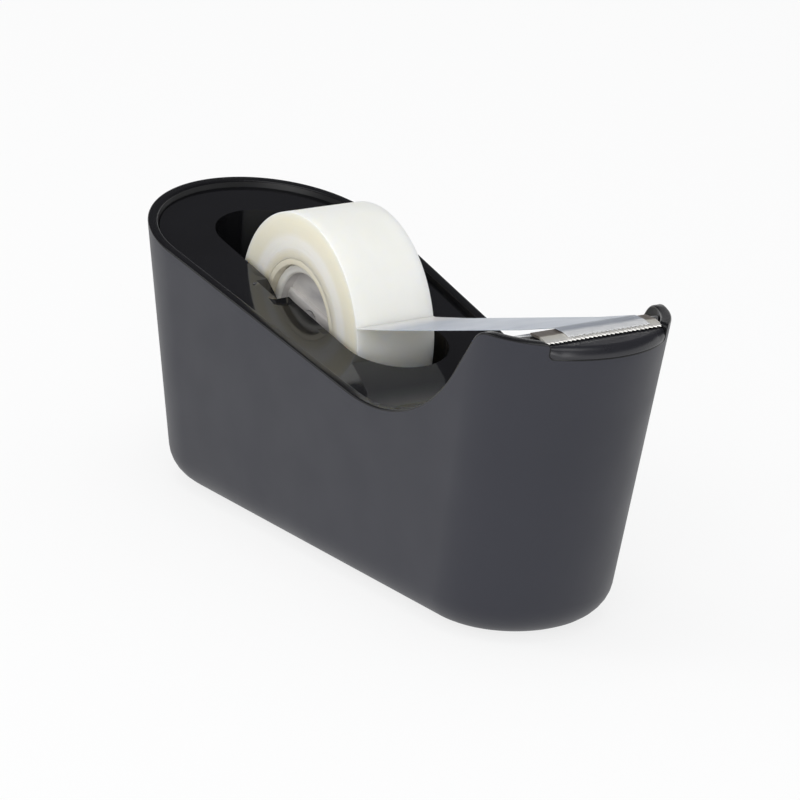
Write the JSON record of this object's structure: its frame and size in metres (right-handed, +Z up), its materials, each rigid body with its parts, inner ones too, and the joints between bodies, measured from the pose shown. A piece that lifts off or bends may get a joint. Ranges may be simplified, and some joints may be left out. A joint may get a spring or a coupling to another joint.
{
  "type": "tape dispenser",
  "caption": "Weighted desk tape dispenser with a dipped deck, a lift-out roll of matte tape on a hub and axle, and a toothed steel cutter at the raised nose.",
  "frame": {"origin": "middle of the footprint on the plane the pad rests on", "axes": "+X along the body towards the cutter, +Y across, +Z up"},
  "size_m": [0.1575, 0.0542, 0.0668],
  "materials": {
    "shell_plastic": "satin",
    "deck_plastic": "polished",
    "blade_steel": "stamped and plated",
    "hub_plastic": "moulded",
    "pin_steel": "drawn",
    "core_plastic": "moulded",
    "tape_film": "matte film",
    "strip_film": "matte film",
    "weight_iron": "as cast",
    "base_plastic": "moulded",
    "pad_rubber": "foam",
    "screw_steel": "zinc plated"
  },
  "bodies": {
    "dispenser": {"outer_shell": "shell_plastic", "top_deck": "deck_plastic", "cutter_blade": "blade_steel", "tape_strip": "strip_film", "ballast_front": "weight_iron", "ballast_cradle": "weight_iron", "base_plate": "base_plastic", "anti_slip_pad": "pad_rubber", "base_screws": "screw_steel"},
    "axle": {"hub_axle": "pin_steel"},
    "roll": {"hub_drum": "hub_plastic", "hub_cap_near": "hub_plastic", "hub_cap_far": "hub_plastic", "tape_core": "core_plastic", "tape_roll": "tape_film"}
  },
  "joints": [
    {"name": "roll_lift", "type": "slide", "parent": "dispenser", "child": "axle", "axis": [-0.4695, 0, 0.8829], "range_m": [0, 0.045]},
    {"name": "roll_spin", "type": "hinge", "parent": "axle", "child": "roll", "pos_m": [-0.0244, 0, 0.0427], "axis": [0, 1, 0], "continuous": true}
  ]
}
